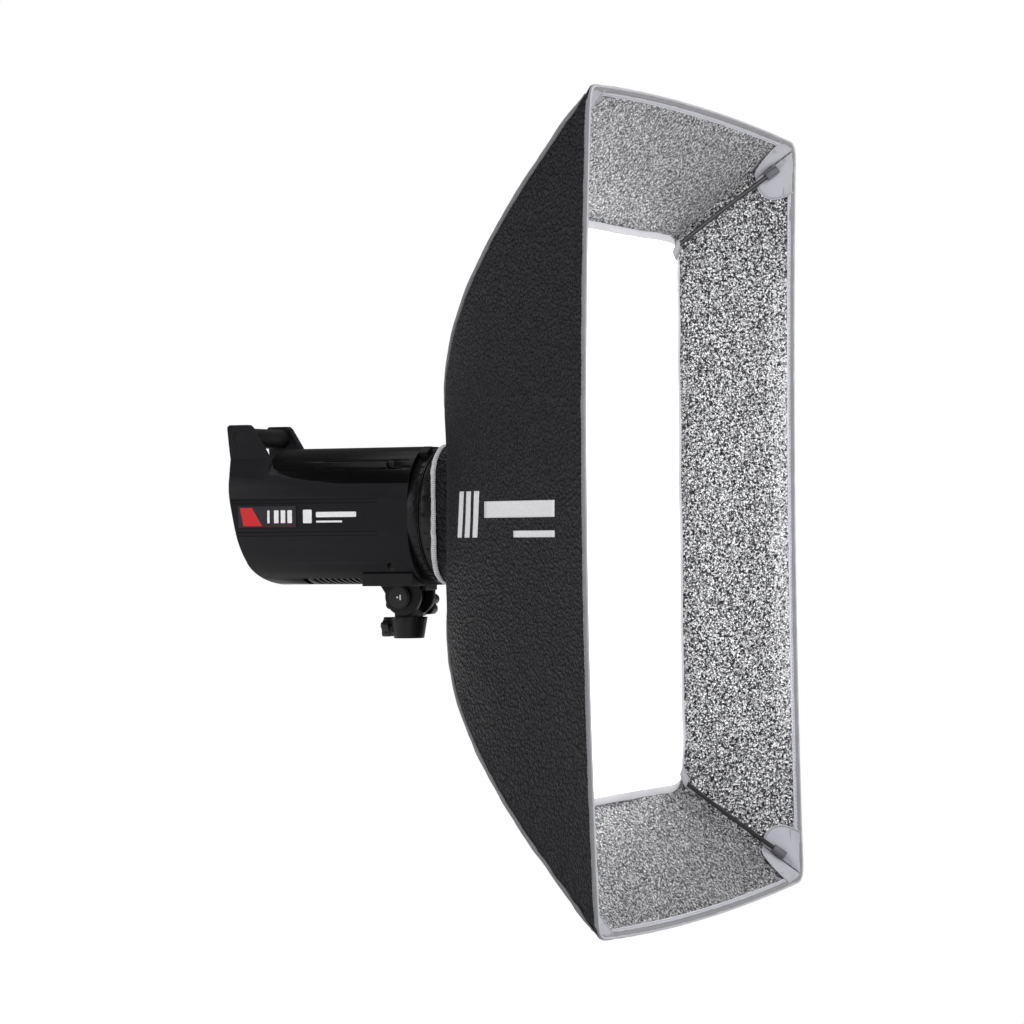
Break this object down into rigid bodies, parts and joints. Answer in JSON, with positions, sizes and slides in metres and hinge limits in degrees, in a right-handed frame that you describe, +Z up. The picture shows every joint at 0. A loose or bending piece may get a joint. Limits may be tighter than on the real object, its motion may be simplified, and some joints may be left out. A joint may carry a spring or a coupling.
{
  "type": "rectangular softbox on flash head",
  "caption": "Rectangular softbox with silver lining and inner diffuser, on a rotating speedring, mounted on a studio flash head with a carrying handle and tilting stand bracket.",
  "frame": {"origin": "middle of the mouth of the stand socket, at the bottom of the bracket", "axes": "+Z up, the light leaves along -Y, X is the width of the opening"},
  "size_m": [0.6, 0.513, 0.8],
  "materials": {
    "black_nylon": "pebbled coated nylon, matt",
    "grey_binding": "woven tape",
    "silver_lining": "pebbled silver coated lining",
    "pocket_cloth": "smooth coated cloth",
    "diffuser_cloth": "translucent white cloth",
    "strap_web": "elastic webbing",
    "collar_cloth": "light grey cloth",
    "printed_mark": "printed patch",
    "black_aluminium": "black anodised",
    "screw_steel": "blackened steel",
    "rod_steel": "black painted spring steel",
    "latch_steel": "plated steel",
    "rod_cap_plastic": "moulded cap",
    "lock_ring_plastic": "moulded, fine grain",
    "side_casing": "dark grey, fine grain",
    "top_casing": "near black, satin gloss",
    "panel_plastic": "moulded black",
    "display_glass": "smoked window",
    "knob_plastic": "moulded black",
    "button_plastic": "soft touch",
    "switch_plastic": "red rocker",
    "socket_metal": "plated",
    "handle_rubber": "moulded grip",
    "label_film": "printed film",
    "flange_metal": "machined",
    "white_ceramic": "white heatproof paint",
    "tube_glass": "clear quartz",
    "lamp_glass": "frosted lamp",
    "frosted_glass": "frosted dome",
    "board": "solder mask",
    "capacitor_sleeve": "shrink sleeve",
    "bracket_casting": "glass filled nylon"
  },
  "bodies": {
    "stand_bracket": {"stand_yoke": "bracket_casting"},
    "stand_knob": {"stand_knob": "knob_plastic"},
    "flash_head": {"adapter_ring": "black_aluminium", "retaining_ring": "black_aluminium", "side_cover_left": "side_casing", "side_cover_right": "side_casing", "top_cover": "top_casing", "bottom_tray": "top_casing", "rear_panel": "panel_plastic", "display_window": "display_glass", "mains_inlet": "panel_plastic", "sync_sockets": "socket_metal", "handle_bar": "handle_rubber", "handle_inserts": "handle_rubber", "label_plates": "label_film", "casing_screws": "screw_steel", "front_flange": "flange_metal", "reflector_plate": "white_ceramic", "flash_tube": "tube_glass", "modelling_lamp": "lamp_glass", "glass_dome": "frosted_glass", "circuit_board": "board", "capacitors": "capacitor_sleeve", "fan_frame": "knob_plastic", "tilt_fork": "bracket_casting", "tilt_axle": "screw_steel", "pivot_cap": "knob_plastic"},
    "tilt_lever": {"tilt_lever": "knob_plastic"},
    "lock_ring": {"lock_ring": "lock_ring_plastic"},
    "softbox": {"speedring": "black_aluminium", "ring_screws": "screw_steel", "rod_upper_left": "rod_steel", "rod_upper_right": "rod_steel", "rod_lower_left": "rod_steel", "rod_lower_right": "rod_steel", "rod_tips": "rod_cap_plastic", "fabric_panel_left": "black_nylon", "fabric_panel_right": "black_nylon", "fabric_panel_top": "black_nylon", "fabric_panel_bottom": "black_nylon", "front_binding": "grey_binding", "hook_strip": "silver_lining", "corner_pockets": "pocket_cloth", "seam_piping": "grey_binding", "inner_diffuser": "diffuser_cloth", "diffuser_straps": "strap_web", "rear_collar": "collar_cloth", "badge_patch": "printed_mark"},
    "fan_rotor": {"fan_rotor": "knob_plastic"},
    "control_dial": {"control_dial": "knob_plastic"},
    "power_switch": {"power_switch": "switch_plastic"},
    "push_button_1": {"push_button_1": "button_plastic"},
    "push_button_2": {"push_button_2": "button_plastic"},
    "push_button_3": {"push_button_3": "button_plastic"},
    "rod_latch_upper_left": {"rod_latch_upper_left": "latch_steel"},
    "rod_latch_upper_right": {"rod_latch_upper_right": "latch_steel"},
    "rod_latch_lower_left": {"rod_latch_lower_left": "latch_steel"},
    "rod_latch_lower_right": {"rod_latch_lower_right": "latch_steel"}
  },
  "joints": [
    {"name": "head_tilt", "type": "hinge", "parent": "stand_bracket", "child": "flash_head", "pos_m": [0, 0, 0.043], "axis": [1, 0, 0], "range_deg": [-55, 30]},
    {"name": "stand_knob_turn", "type": "hinge", "parent": "stand_bracket", "child": "stand_knob", "pos_m": [0, 0.02, 0.011], "axis": [0, 1, 0], "range_deg": [0, 270]},
    {"name": "tilt_lever_swing", "type": "hinge", "parent": "flash_head", "child": "tilt_lever", "pos_m": [0.03, 0, 0.043], "axis": [-1, 0, 0], "range_deg": [0, 35]},
    {"name": "lock_ring_turn", "type": "hinge", "parent": "flash_head", "child": "lock_ring", "pos_m": [0, -0.036, 0.128], "axis": [0, 1, 0], "range_deg": [0, 20]},
    {"name": "softbox_turn", "type": "hinge", "parent": "flash_head", "child": "softbox", "pos_m": [0, -0.055, 0.128], "axis": [0, 1, 0], "continuous": true},
    {"name": "fan_spin", "type": "hinge", "parent": "flash_head", "child": "fan_rotor", "pos_m": [0, 0.111, 0.134], "axis": [0, 1, 0], "continuous": true},
    {"name": "dial_turn", "type": "hinge", "parent": "flash_head", "child": "control_dial", "pos_m": [0, 0.14, 0.12], "axis": [0, 1, 0], "continuous": true},
    {"name": "power_rock", "type": "hinge", "parent": "flash_head", "child": "power_switch", "pos_m": [-0.022, 0.13, 0.076], "axis": [1, 0, 0], "range_deg": [-10, 10]},
    {"name": "push_button_1_press", "type": "slide", "parent": "flash_head", "child": "push_button_1", "axis": [0, -1, 0], "range_m": [0, 0.0015], "stiffness_N_per_m": 400},
    {"name": "push_button_2_press", "type": "slide", "parent": "flash_head", "child": "push_button_2", "axis": [0, -1, 0], "range_m": [0, 0.0015], "stiffness_N_per_m": 400},
    {"name": "push_button_3_press", "type": "slide", "parent": "flash_head", "child": "push_button_3", "axis": [0, -1, 0], "range_m": [0, 0.0015], "stiffness_N_per_m": 400},
    {"name": "rod_latch_upper_left_press", "type": "slide", "parent": "softbox", "child": "rod_latch_upper_left", "axis": [0, 1, 0], "range_m": [0, 0.002], "stiffness_N_per_m": 600},
    {"name": "rod_latch_upper_right_press", "type": "slide", "parent": "softbox", "child": "rod_latch_upper_right", "axis": [0, 1, 0], "range_m": [0, 0.002], "stiffness_N_per_m": 600},
    {"name": "rod_latch_lower_left_press", "type": "slide", "parent": "softbox", "child": "rod_latch_lower_left", "axis": [0, 1, 0], "range_m": [0, 0.002], "stiffness_N_per_m": 600},
    {"name": "rod_latch_lower_right_press", "type": "slide", "parent": "softbox", "child": "rod_latch_lower_right", "axis": [0, 1, 0], "range_m": [0, 0.002], "stiffness_N_per_m": 600}
  ]
}
